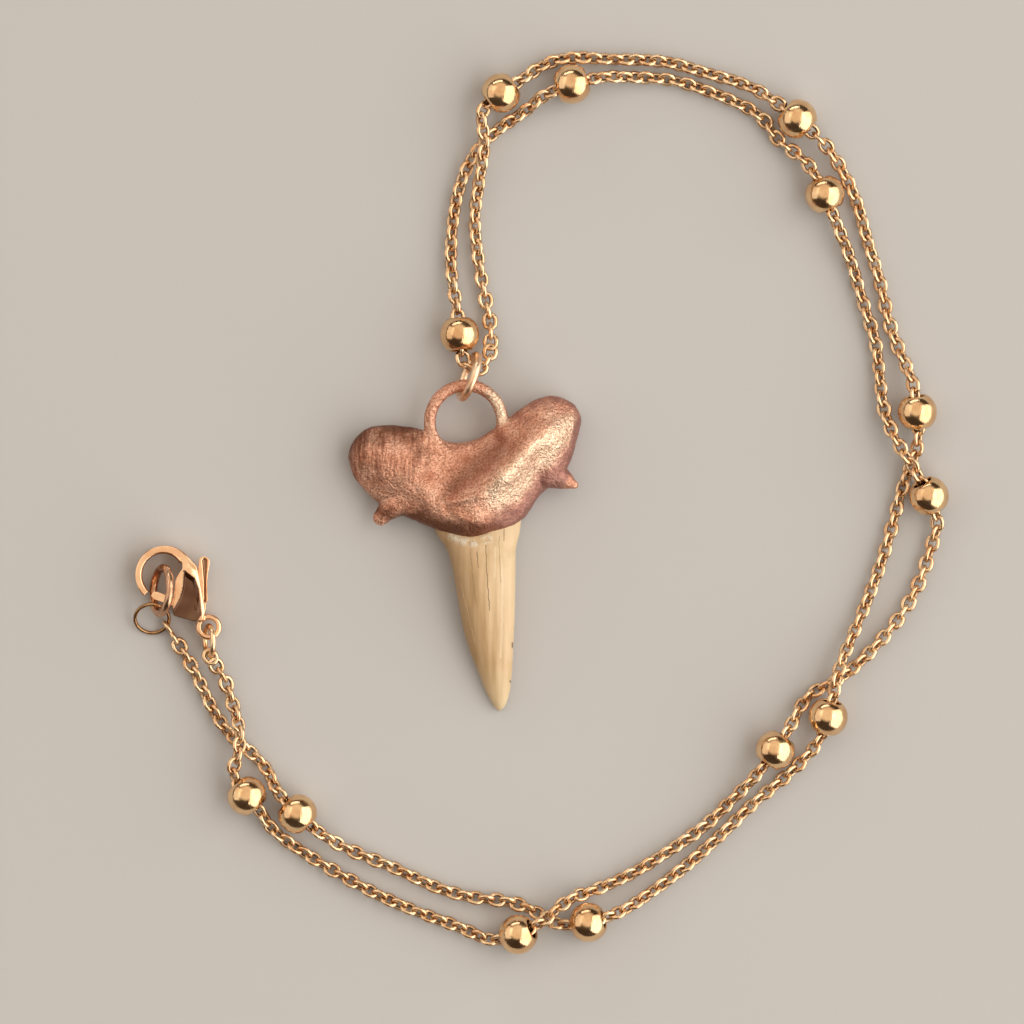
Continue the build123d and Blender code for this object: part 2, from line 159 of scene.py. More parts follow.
# Points along each strand: X and Y in millimetres, and the lift from lying on the table (0) to the middle of
# a resting bead (1).
strand_routes = {
    "a": [
        (-5.5, 16.8, 0.73), (-5.5, 14.6, 1.3), (-8.5, 14.3, 1.3), (-8.9, 19.9, 0.86), (-9.8, 25.0, 0),
        (-9.6, 30.1, 0), (-8.7, 34.5, 0), (-6.9, 37.9, 0), (-4.4, 40.2, 0), (-2.0, 41.6, 0.23),
        (0.4, 43.8, 1), (5.8, 45.5, 1), (10.4, 45.4, 0), (13.8, 45.2, 0), (17.2, 44.1, 0), (20.5, 42.8, 0),
        (23.4, 41.3, 0), (25.0, 38.5, 0), (28.5, 36.3, 1), (31.3, 29.6, 1), (32.8, 25.8, 0),
        (34.0, 21.5, 0), (35.4, 17.4, 0), (35.8, 13.3, 0), (36.1, 10.1, 0.54), (37.4, 6.8, 1.44),
        (39.7, 3.4, 1.58), (42.2, -1.4, 0.42), (41.2, -4.5, 0), (40.1, -8.1, 0), (38.1, -11.7, 0),
        (34.9, -15.5, 0), (31.3, -18.7, 0), (28.1, -19.9, 0), (26.2, -23.6, 1), (23.1, -28.2, 1),
        (20.0, -31.3, 0), (17.3, -34.0, 0), (13.5, -36.6, 0), (9.3, -39.2, 0), (5.6, -40.8, 0),
        (2.7, -41.6, 1.2), (-0.2, -44.4, 1.66), (-5.0, -46.5, 0.34), (-8.5, -44.8, 0), (-12.8, -43.3, 0),
        (-16.7, -41.7, 0), (-20.9, -39.5, 0), (-24.9, -37.1, 0), (-28.5, -34.7, 0), (-29.8, -32.5, 1),
        (-33.1, -28.7, 1), (-32.1, -26.1, 1.48), (-32.0, -23.6, 1.2), (-33.1, -20.3, 0),
        (-33.7, -18.4, 0.3),
    ],
    "b": [
        (-5.5, 16.8, 0.73), (-5.4, 19.0, 0.12), (-6.1, 22.0, 0), (-6.8, 25.8, 0), (-7.3, 30.5, 0),
        (-6.7, 34.5, 0.5), (-6.2, 37.3, 1.24), (-6.2, 39.4, 1.48), (-6.7, 42.2, 1.08), (-2.1, 45.2, 0.92),
        (0.6, 47.1, 0), (3.6, 47.6, 0), (6.9, 47.3, 0.15), (10.4, 47.3, 0.15), (13.8, 47.0, 0.15),
        (17.5, 45.8, 0.15), (21.0, 44.9, 0.24), (24.3, 43.2, 1), (29.7, 38.7, 1), (31.7, 35.8, 0.15),
        (33.4, 32.3, 0), (34.4, 28.1, 0), (35.8, 24.0, 0), (36.6, 19.8, 0), (37.9, 16.2, 0),
        (39.4, 13.0, 1.35), (40.0, 6.8, 0.65), (39.1, 4.4, 0), (38.0, 1.4, 0), (37.0, -2.6, 0),
        (35.7, -6.8, 0), (34.0, -11.2, 0), (32.4, -14.8, 0.54), (31.3, -17.5, 1.46), (30.8, -20.2, 1.31),
        (29.7, -24.6, 0.69), (27.5, -27.2, 0), (25.3, -29.2, 0), (22.4, -31.5, 0), (19.2, -34.7, 0),
        (15.3, -38.2, 0), (11.5, -41.1, 0), (7.6, -43.5, 1.42), (2.1, -44.8, 0.58), (-0.3, -43.3, 0),
        (-3.3, -41.9, 0), (-7.3, -41.7, 0), (-11.5, -40.5, 0), (-15.7, -38.4, 0), (-20.2, -36.7, 0),
        (-23.8, -34.7, 1), (-28.1, -30.6, 1), (-29.1, -28.0, 0), (-31.2, -25.9, 0), (-33.2, -24.3, 0),
        (-35.0, -21.7, 0), (-36.3, -18.7, 0), (-37.7, -16.2, 0),
    ],
}


class Paint:
    """A material put together in steps, on its piece's own coordinates, from sockets and plain values."""

    def __init__(self, name):
        self.material = bpy.data.materials.new(name)
        self.material.use_nodes = True
        self.shader = self.material.node_tree.nodes["Principled BSDF"]
        self.where = self.step("TexCoord", "Object")

    def put(self, socket, value):
        """Links another socket to this one, or gives it a plain value or colour."""
        if isinstance(value, bpy.types.NodeSocket):
            self.material.node_tree.links.new(value, socket)
        else:
            socket.default_value = (*value, 1) if socket.type == "RGBA" else value

    def step(self, kind, output, inputs=(), **settings):
        """Adds a node, with its inputs by name or number, and gives the output that is used."""
        node = self.material.node_tree.nodes.new("ShaderNode" + kind)
        for setting, choice in settings.items():
            setattr(node, setting, choice)
        for socket, value in dict(inputs).items():
            self.put(node.inputs[socket], value)
        return node.outputs[output]

    def noise(self, scale, detail, stretch=(1, 1, 1), turn=0):
        """A noise pattern, drawn out along a turned direction."""
        turned = (0, 0, math.radians(turn))
        place = self.step("Mapping", "Vector", {"Vector": self.where, "Scale": stretch, "Rotation": turned})
        return self.step("TexNoise", "Fac", {"Vector": place, "Scale": scale, "Detail": detail})

    def ramp(self, value, *stops):
        """Colours along a value, each with the place where it is full."""
        colours = self.step("ValToRGB", "Color", {"Fac": value})
        elements = colours.node.color_ramp.elements
        while len(elements) < len(stops):
            elements.new(0.5)
        for element, (position, colour) in zip(elements, stops):
            element.position = position
            element.color = (*colour, 1)
        return colours

    def mark(self, name):
        """The value of a mark that the piece's mesh carries."""
        return self.step("Attribute", "Fac", attribute_name=name)

    def mix(self, factor, first, second):
        """Two colours mixed."""
        return self.step("Mix", "Result", {"Factor": factor, "A": first, "B": second}, data_type="RGBA")

    def spread(self, value, low, high, from_low=0.0, from_high=1.0):
        """A value moved to a new range."""
        ends = {"From Min": from_low, "From Max": from_high, "To Min": low, "To Max": high}
        return self.step("MapRange", "Result", {"Value": value, **ends})

    def combine(self, first, second, operation="MULTIPLY", clamp=False):
        """Two values multiplied, or put together by another operation."""
        return self.step("Math", "Value", {0: first, 1: second}, operation=operation, use_clamp=clamp)

    def vector(self, operation, first, second):
        """One step of vector arithmetic."""
        output = "Value" if operation in ("DOT_PRODUCT", "DISTANCE") else "Vector"
        return self.step("VectorMath", output, {0: first, 1: second}, operation=operation)

    def bump(self, height, depth, strength, normal=None):
        """A bump over the normal given, or over the plain one."""
        inputs = {"Height": height, "Distance": depth, "Strength": strength}
        if normal:
            inputs["Normal"] = normal
        return self.step("Bump", "Normal", inputs)

    def dress(self, metallic, colour, roughness, normal):
        """Gives the surface its colour, its gloss and its bumps."""
        looks = {"Metallic": metallic, "Base Color": colour, "Roughness": roughness, "Normal": normal}
        for socket, value in looks.items():
            self.put(self.shader.inputs[socket], value)


# The colour of painted shade: inside the links and beads, in the clasp's dish and groove, and on its rivet
painted_shade_colour = (0.115, 0.055, 0.035)
grain_depth = 0.02 * MM


def polished_metal(name, colour, deep_colour, roughness, grain, scratch):
    """Plated metal with cloudy tone, fine grain and scratch lines worn into it, and painted shade where its
    mesh is marked.
    """
    metal = Paint(name)
    tone = metal.ramp(metal.noise(700, 3), (0.35, deep_colour), (0.6, colour))
    gloss = metal.spread(metal.noise(1800, 4), roughness * 0.7, roughness * 1.5, 0.3, 0.7)
    normal = metal.bump(metal.noise(5200, 2), grain_depth, grain)
    rubbing_lines = {"Vector": metal.where, "Scale": 1500, "Distortion": 9, "Detail": 2}
    normal = metal.bump(metal.step("TexWave", "Fac", rubbing_lines), grain_depth, scratch, normal)
    metal.dress(1.0, metal.mix(metal.mark("painted_shade"), tone, painted_shade_colour), gloss, normal)
    return metal.material


chain_gold = polished_metal("chain_gold", (0.97, 0.72, 0.46), (0.78, 0.47, 0.25), 0.24, 0.3, 0.1)


def add_piece(name, form, paint, body, node, place=Matrix()):
    """Puts a finished form in its place as an object of the necklace, which stands for one CAD node."""
    bmesh.ops.transform(form, matrix=place, verts=form.verts)
    mesh = bpy.data.meshes.new(name)
    form.to_mesh(mesh)
    form.free()
    for polygon in mesh.polygons:
        polygon.use_smooth = True
    mesh.materials.append(paint)
    piece = bpy.data.objects.new(name, mesh)
    scene_objects.link(piece)
    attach(piece, body)
    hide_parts(node)


def clamped(value):
    """A value kept from 0 to 1."""
    return max(0, min(1, value))


def edges_in(parts):
    """The edges among the parts that an operator gives back."""
    return [part for part in parts if isinstance(part, bmesh.types.BMEdge)]


def corners_in(parts):
    """The corners among the parts that an operator gives back."""
    return [part for part in parts if isinstance(part, bmesh.types.BMVert)]


def wire_section(form, sides, wire, place):
    """The round section of a wire, as corners and edges, standing at a place."""
    corners = bmesh.ops.create_circle(form, segments=sides, radius=wire / 2, matrix=place)["verts"]
    return corners + list({edge for corner in corners for edge in corner.link_edges})


def oval_link_form():
    """One link of round wire, lying in the XY plane with its length along X."""
    bend = (link_width - link_wire) / 2
    straight = link_length - link_width
    form = bmesh.new()
    start = Matrix.Translation((straight / 2, -bend, 0)) @ Matrix.Rotation(math.pi / 2, 4, "Y")
    section = wire_section(form, link_sides, link_wire, start)
    for middle_x, run_x in ((straight / 2, -straight), (-straight / 2, straight)):
        bent = bmesh.ops.spin(
            form, geom=section, cent=(middle_x, 0, 0), axis=(0, 0, 1), angle=math.pi, steps=link_bend_steps
        )
        run = bmesh.ops.extrude_edge_only(form, edges=edges_in(bent["geom_last"]))["geom"]
        bmesh.ops.translate(form, verts=corners_in(run), vec=(run_x, 0, 0))
        section = corners_in(run) + edges_in(run)
    bmesh.ops.remove_doubles(form, verts=form.verts, dist=0.01 * MM)
    bmesh.ops.recalc_face_normals(form, faces=form.faces)
    # The wire's inner side, round the link's hole, is painted dark as painted shade
    painted_shade = form.verts.layers.float.new("painted_shade")
    for vert in form.verts:
        spine = Vector((max(-straight / 2, min(straight / 2, vert.co.x)), 0, 0))
        inward = (bend - (vert.co - spine).to_2d().length) / (link_wire / 2)
        vert[painted_shade] = clamped(inward * 2.2 - 0.9)
    return form


def route_point(x, y, lift):
    """A point of a route as a place in metres."""
    return Vector((x * MM, y * MM, chain_lies + lift * (bead_rests - chain_lies)))


def strand_line(rows):
    """Points along a strand's smooth line, from the NURBS spline through its route."""
    curve = bpy.data.curves.new("strand_line", "CURVE")
    curve.dimensions = "3D"
    curve.resolution_u = 24
    spline = curve.splines.new("NURBS")
    spline.points.add(len(rows) - 1)
    for point, row in zip(spline.points, rows):
        point.co = (*route_point(*row), 1)
    spline.order_u = 3
    spline.use_endpoint_u = True
    holder = bpy.data.objects.new("strand_line", curve)
    scene_objects.link(holder)
    bpy.context.view_layer.update()
    mesh = bpy.data.meshes.new_from_object(holder)
    line = [vert.co.copy() for vert in mesh.vertices]
    bpy.data.objects.remove(holder)
    bpy.data.meshes.remove(mesh)
    bpy.data.curves.remove(curve)
    return line


def place_on(line, distances):
    """The place and heading at each distance along a line of points."""
    places = []
    travelled, index = 0.0, 0
    for distance in distances:
        while index < len(line) - 2 and travelled + (line[index + 1] - line[index]).length < distance:
            travelled += (line[index + 1] - line[index]).length
            index += 1
        run = line[index + 1] - line[index]
        places.append((line[index] + run * ((distance - travelled) / run.length), run.normalized()))
    return places


def middle_of(node):
    """The middle of a CAD node's box."""
    low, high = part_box(node)
    return (low + high) / 2


link_form = oval_link_form()
link_mesh = bpy.data.meshes.new("link")
link_form.to_mesh(link_mesh)
link_form.free()

# Each link's roll about the strand: a quarter turn from the last, a lean on the table and a slow twist, all
# in degrees. The lean and the twist fade out towards the strand's ends.
for strand, rows in strand_routes.items():
    line = strand_line(rows) + [middle_of("end_link_" + strand)]
    whole = sum((after - before).length for before, after in zip(line, line[1:]))
    count = round((whole - link_pitch / 2) / link_pitch)
    pitch = whole / (count + 0.5)
    chain_form = bmesh.new()
    for index, (place, heading) in enumerate(place_on(line, [pitch * (step + 0.5) for step in range(count)])):
        along = index / (count - 1)
        settled = min(1, along * 30, (1 - along) * 30)
        twist = 40 * noise.noise(Vector((place.x * 90, place.y * 90, 7.0)))
        twist += 14 * noise.noise(Vector((index * 0.9, 3.0, 1.0)))
        roll = 90 * (index % 2) + (link_lean + twist) * settled
        side = Vector((0, 0, 1)).cross(heading).normalized()
        turned = Matrix((heading, side, heading.cross(side))).transposed().to_4x4()
        link_place = Matrix.Translation(place) @ turned @ Matrix.Rotation(math.radians(roll), 4, "X")
        first = len(chain_form.verts)
        chain_form.from_mesh(link_mesh)
        chain_form.verts.ensure_lookup_table()
        bmesh.ops.transform(chain_form, matrix=link_place, verts=chain_form.verts[first:])
    add_piece("links_" + strand, chain_form, chain_gold, "necklace", "chain_strand_" + strand)
    print("strand", strand, "length", round(whole / MM, 1), "links", count, "pitch", round(pitch / MM, 3))
bpy.data.meshes.remove(link_mesh)


# The beads are thin hollow balls of the same gold, polished, and spun from tube with a rolled rim at each end
# that the chain runs through.
bead_radius = 2.1 * MM
bead_hole = 1.02 * MM
bead_rim = 0.15 * MM
bead_wall = 0.2 * MM
bead_steps = 40
bead_gold = polished_metal("bead_gold", (0.90, 0.62, 0.35), (0.76, 0.46, 0.24), 0.15, 0.15, 0.12)

# The runs of each route, counted from 0, that a bead sits on
bead_runs = {"a": [2, 10, 18, 26, 34, 42, 50], "b": [8, 17, 25, 34, 42, 50]}


def half_round(radius, start, steps):
    """Points on a half circle over the X axis, from an angle above the axis to the same at its other end."""
    angles = [start + (math.pi - 2 * start) * step / steps for step in range(steps + 1)]
    return [(-radius * math.cos(angle), radius * math.sin(angle)) for angle in angles]


def closed_line(form, points):
    """A closed line of corners and edges through some points."""
    corners = [form.verts.new(point) for point in points]
    return corners + [form.edges.new(pair) for pair in zip(corners, corners[1:] + corners[:1])]


def bead_form():
    """A bead on the X axis: half of its outline, spun once round."""
    form = bmesh.new()
    inner_radius = bead_radius - bead_wall
    rim_middle = bead_hole + bead_rim
    rim_reach = bead_radius - bead_rim
    lip = math.asin(rim_middle / rim_reach)
    rolled = []
    for step in range(1, 6):
        turn = math.pi / 2 - lip + math.radians(38) * step
        x = rim_reach * math.cos(lip) + bead_rim * math.sin(turn)
        rolled.append((x, rim_middle + bead_rim * math.cos(turn)))
    outline = half_round(bead_radius, lip, 14) + rolled + half_round(inner_radius, lip + 0.09, 8)[::-1]
    outline += [(-x, r) for x, r in reversed(rolled)]
    section = closed_line(form, [(x, r, 0) for x, r in outline])
    bmesh.ops.spin(
        form, geom=section, cent=(0, 0, 0), axis=(1, 0, 0), angle=math.tau, steps=bead_steps, use_merge=True
    )
    bmesh.ops.remove_doubles(form, verts=form.verts, dist=0.002 * MM)
    bmesh.ops.recalc_face_normals(form, faces=form.faces)
    # The bead's inner wall, seen through its holes, is painted dark as painted shade
    painted_shade = form.verts.layers.float.new("painted_shade")
    for vert in form.verts:
        vert[painted_shade] = 1 if abs(vert.co.length - inner_radius) < 0.001 * MM else 0
    return form


bead_number = 0
for strand, runs in bead_runs.items():
    for run in runs:
        bead_number += 1
        node = f"bead_{bead_number:02d}"
        before, after = (route_point(*row) for row in strand_routes[strand][run:run + 2])
        turned = Vector((1, 0, 0)).rotation_difference(after - before).to_matrix().to_4x4()
        bead_place = Matrix.Translation(middle_of(node)) @ turned
        add_piece(f"ball_{bead_number:02d}", bead_form(), bead_gold, "necklace", node, bead_place)


# The pendant hangs from one jump ring of polished gold wire, bent round and butted. It stands nearly on edge,
# with the bail below and the turned chain above.
ring_seam = 0.04 * MM
ring_sides = 18
ring_steps = 90


def ring_form(diameter, wire, seam):
    """A jump ring lying in the XY plane, its butted ends at an angle in degrees."""
    form = bmesh.new()
    reach = (diameter - wire) / 2
    gap = ring_seam / reach
    turned = Matrix.Rotation(math.radians(seam) + gap / 2, 4, "Z")
    start = turned @ Matrix.Translation((reach, 0, 0)) @ Matrix.Rotation(math.pi / 2, 4, "X")
    section = wire_section(form, ring_sides, wire, start)
    bent = bmesh.ops.spin(
        form, geom=section, cent=(0, 0, 0), axis=(0, 0, 1), angle=math.tau - gap, steps=ring_steps
    )
    caps = bmesh.ops.edgeloop_fill(form, edges=edges_in(section))["faces"]
    caps += bmesh.ops.edgeloop_fill(form, edges=edges_in(bent["geom_last"]))["faces"]
    rims = list({edge for cap in caps for edge in cap.edges})
    bmesh.ops.bevel(form, geom=rims, offset=wire * 0.06, segments=2, profile=0.5, affect="EDGES", material=-1)
    bmesh.ops.recalc_face_normals(form, faces=form.faces)
    return form


def laid(middle, heading, lean):
    """Where a flat form lies: its X runs along the heading, and its left side stands up by the lean."""
    turned = Matrix.Rotation(math.radians(heading), 4, "Z") @ Matrix.Rotation(math.radians(lean), 4, "X")
    return Matrix.Translation(Vector(middle) * MM) @ turned


def add_ring(name, node, paint, place, diameter, wire, seam):
    """Bends a jump ring, its diameter and wire in millimetres, and lays it in its place."""
    add_piece(name, ring_form(diameter * MM, wire * MM, seam), paint, "necklace", node, place)


ring_gold = polished_metal("ring_gold", (1.0, 0.76, 0.54), (0.86, 0.55, 0.34), 0.32, 0.2, 0.1)
bail_ring_place = laid((-7.7662, 13.6426, 2.63), -109.5, 77.5)
add_ring("bail_jump_ring", "pendant_ring", ring_gold, bail_ring_place, 5.6, 0.87, 200)


# The root of the tooth is coated with copper, grown on it in a plating bath, so the metal follows every hollow
# and ridge of the bone. It has a satin, grainy skin. It is darkened along its edges partly by tarnish and
# partly as painted shade, darkened in its folds as painted shade, and paled along its ridge as a painted
# highlight. The bail and the tooth's two side points are under the same copper.
root_left = -20.65 * MM
root_foot = -3.35 * MM
root_width = 24.8 * MM
root_height = 14.9 * MM
root_thickness = 6.65 * MM
root_voxel = 0.14 * MM

# Sections from the left lobe to the right: the place across the width, the lower and upper edge as shares of
# the height, the thickness at four stations from the lower edge to the upper, and the lift of the underside,
# as shares of the thickness.
root_sections = [
    (0.000, 0.52, 0.634, 0.30, 0.36, 0.36, 0.30, 0.12),
    (0.030, 0.42, 0.695, 0.40, 0.48, 0.50, 0.42, 0.06),
    (0.080, 0.325, 0.768, 0.46, 0.58, 0.62, 0.52, 0.02),
    (0.145, 0.23, 0.795, 0.50, 0.66, 0.71, 0.57, 0),
    (0.220, 0.17, 0.79, 0.53, 0.70, 0.72, 0.58, 0),
    (0.325, 0.092, 0.76, 0.62, 0.73, 0.66, 0.56, 0),
    (0.425, 0.03, 0.68, 0.74, 0.77, 0.62, 0.52, 0),
    (0.540, 0.00, 0.69, 0.86, 0.92, 0.76, 0.52, 0),
    (0.650, 0.05, 0.80, 0.74, 0.94, 0.93, 0.58, 0),
    (0.745, 0.124, 0.916, 0.60, 0.81, 1.00, 0.68, 0),
    (0.825, 0.305, 0.99, 0.52, 0.72, 0.91, 0.70, 0),
    (0.890, 0.39, 1.00, 0.53, 0.72, 0.76, 0.60, 0),
    (0.940, 0.49, 0.975, 0.46, 0.58, 0.60, 0.50, 0.02),
    (0.975, 0.66, 0.935, 0.38, 0.46, 0.46, 0.40, 0.06),
    (1.000, 0.77, 0.885, 0.30, 0.36, 0.36, 0.30, 0.12),
]
root_stations = (0.15, 0.38, 0.62, 0.85)
end_rounding = 0.035
crown_fullness = 0.62
belly_fullness = 0.5


def smooth_between(rows, at):
    """A table's values at a place, on a smooth curve through its rows. The first column is the place."""
    at = min(max(at, rows[0][0]), rows[-1][0])
    index = max(number for number, row in enumerate(rows[:-1]) if row[0] <= at)
    here, after = rows[index], rows[index + 1]
    before = rows[index - 1] if index else here
    beyond = rows[index + 2] if index + 2 < len(rows) else after
    step = after[0] - here[0]
    t = (at - here[0]) / step
    values = []
    for column in range(1, len(here)):
        rise = (after[column] - here[column]) / step
        leave, arrive = rise, rise
        if before is not here:
            leave = (after[column] - before[column]) / (after[0] - before[0])
        if beyond is not after:
            arrive = (beyond[column] - here[column]) / (beyond[0] - here[0])
        values.append(
            here[column] * (2 * t**3 - 3 * t**2 + 1)
            + after[column] * (3 * t**2 - 2 * t**3)
            + leave * step * (t**3 - 2 * t**2 + t)
            + arrive * step * (t**3 - t**2)
        )
    return values


def root_point(end_on, round_at):
    """A point of the root's skin, from a place on a ball: -1 to 1 along it, and the angle round it."""
    across = (end_on + 1) / 2
    foot, top, *heights, lift = smooth_between(root_sections, across)
    edge = min(across, 1 - across)
    cap = math.sqrt(max(0, 1 - (1 - min(1, edge / end_rounding)) ** 2))
    middle, reach = (foot + top) / 2, (top - foot) * cap
    up = math.sin(round_at)
    station = (1 - math.cos(round_at)) / 2
    profile = []
    for place, height in zip(root_stations, heights):
        rounding = math.sqrt(1 - (1 - 2 * place) ** 2) ** crown_fullness
        profile.append((place, height / 2 + (height / 2) / rounding))
    rim = (heights[0] * (1 - station) + heights[-1] * station) / 2
    crown = smooth_between(profile, station)[0] - rim
    if up >= 0:
        z = rim + crown * up**crown_fullness * cap
    else:
        z = rim - (rim - lift) * abs(up) ** belly_fullness * cap
    y = middle + (station - 0.5) * reach
    return Vector((root_left + across * root_width, root_foot + y * root_height, z * root_thickness))


root_form = bmesh.new()
lying = Matrix.Rotation(math.pi / 2, 4, "Y")
bmesh.ops.create_uvsphere(root_form, u_segments=96, v_segments=150, radius=1, matrix=lying)
for vert in root_form.verts:
    vert.co = root_point(max(-1, min(1, vert.co.x)), math.atan2(vert.co.z, -vert.co.y))

# The two side points, in millimetres: places from the base to the tip, and the radius at each
side_points = [
    [
        ((-14.6, 0.6, 2.3), 1.5),
        ((-15.7, 0.1, 2.2), 1.4),
        ((-16.5, -0.6, 2.1), 1.08),
        ((-17.2, -1.3, 2.1), 0.82),
    ],
    [
        ((0.6, 3.5, 2.3), 1.7),
        ((1.6, 3.1, 2.2), 1.3),
        ((2.4, 2.7, 2.15), 0.95),
        ((2.95, 2.36, 2.1), 0.62),
        ((3.4, 2.12, 2.1), 0.44),
    ],
]
side_point_steps = 5
for rows in side_points:
    for (start, start_radius), (end, end_radius) in zip(rows, rows[1:]):
        for step in range(side_point_steps + 1):
            share = step / side_point_steps
            place = Matrix.Translation(Vector(start).lerp(Vector(end), share) * MM)
            radius = (start_radius + (end_radius - start_radius) * share) * MM
            bmesh.ops.create_uvsphere(root_form, u_segments=20, v_segments=12, radius=radius, matrix=place)

bail_middle = Vector((-8.1, 8.86, 2.85)) * MM
bail_radius = 3.84 * MM
bail_wire = 1.3 * MM
bail_start = Matrix.Translation(bail_middle + Vector((bail_radius, 0, 0)))
section = wire_section(root_form, 24, bail_wire, bail_start @ Matrix.Rotation(math.pi / 2, 4, "X"))
bmesh.ops.spin(
    root_form, geom=section, cent=bail_middle, axis=(0, 0, 1), angle=math.tau, steps=80, use_merge=True
)
bmesh.ops.recalc_face_normals(root_form, faces=root_form.faces)


def joined_skin(form, voxel):
    """One closed skin round all the forms in a mesh, as plating grows over them."""
    mesh = bpy.data.meshes.new("joined")
    form.to_mesh(mesh)
    form.free()
    holder = bpy.data.objects.new("joined", mesh)
    scene_objects.link(holder)
    remesh = holder.modifiers.new("skin", "REMESH")
    remesh.mode = "VOXEL"
    remesh.voxel_size = voxel
    bpy.context.view_layer.update()
    made = bpy.data.meshes.new_from_object(holder.evaluated_get(bpy.context.evaluated_depsgraph_get()))
    skin = bmesh.new()
    skin.from_mesh(made)
    bpy.data.objects.remove(holder)
    bpy.data.meshes.remove(mesh)
    bpy.data.meshes.remove(made)
    return skin


def smoothed(form, corners, turns):
    """Smooths some of a form's corners, a number of times over."""
    for turn in range(turns):
        bmesh.ops.smooth_vert(
            form, verts=corners, factor=0.5, use_axis_x=True, use_axis_y=True, use_axis_z=True
        )


# Where the bail stands on the root, seen from above in millimetres, and how wide its solder spreads
bail_feet = [Vector((-11.5, 7.2)), Vector((-4.4, 8.2))]
solder_reach = 1.3

root_skin = joined_skin(root_form, root_voxel)
root_skin.normal_update()
crown_corners = [vert for vert in root_skin.verts if vert.normal.z > 0.35 and vert.co.z > 3.6 * MM]
solder_corners = [
    vert for vert in root_skin.verts
    if min((vert.co.to_2d() / MM - foot).length for foot in bail_feet) < solder_reach
]
smoothed(root_skin, root_skin.verts, 3)
smoothed(root_skin, crown_corners, 60)
smoothed(root_skin, solder_corners, 15)

# Folds of the bone under the copper, seen from above: from, to, width and height of each, in millimetres
root_folds = [
    ((-4.7, 6.3), (-9.5, 2.1), 1.2, -0.8),
    ((-9.2, 1.9), (-11.2, 0.7), 0.55, -0.22),
    ((-10.6, 1.0), (-9.6, -1.0), 0.4, -0.20),
    ((-9.9, 0.3), (-6.4, 1.1), 0.42, 0.24),
    ((-9.3, -0.8), (-7.6, -1.8), 0.4, 0.15),
    ((1.8, 8.2), (-4.2, 3.0), 1.4, 0.45),
    ((-4.2, 3.0), (-8.4, 0.9), 1.1, 0.4),
    ((-7.0, -1.7), (-3.8, -2.2), 0.8, 0.2),
    ((-4.2, 8.2), (-3.0, 6.2), 0.9, 0.3),
]


def beside(place, start, end):
    """How far along a line a place lies, from 0 to 1, and how far from the line, all seen from above."""
    start, run = Vector(start), Vector(end) - Vector(start)
    share = clamped((place - start).dot(run) / run.length_squared)
    return share, (place - start - run * share).length


def fold_rise(place):
    """The height that the folds add at a place seen from above, in millimetres."""
    rise = 0
    for start, end, width, height in root_folds:
        away = beside(place, start, end)[1] / width
        rise += height * math.exp(-away * away)
    return rise


root_skin.normal_update()
for vert in root_skin.verts:
    if vert.normal.z > 0:
        vert.co.z += fold_rise(vert.co.to_2d() / MM) * min(1, vert.normal.z * 1.5) * MM

# The smoothing and the folds change the root's height a little, so what is above its belly is set to its crest
root_belly, root_crest = 3.0 * MM, 6.9 * MM
tallest = max(vert.co.z for vert in root_skin.verts)
for vert in root_skin.verts:
    if vert.co.z > root_belly:
        vert.co.z = root_belly + (vert.co.z - root_belly) * (root_crest - root_belly) / (tallest - root_belly)
root_skin.normal_update()

# Where a painted highlight pales the copper, seen from above in millimetres: from, to and half width
painted_highlight_lines = [
    ((3.0, 7.9), (-1.2, 3.9), 1.8),
    ((-1.2, 3.9), (-4.2, 1.0), 2.0),
    ((-4.4, 9.6), (-5.2, 11.4), 1.1),
]


def highlight_share(place):
    """How much painted highlight the copper has at a place seen from above, from 0 to 1."""
    return max(math.exp(-((beside(place, start, end)[1] / reach) ** 4)) for start, end, reach in painted_highlight_lines)


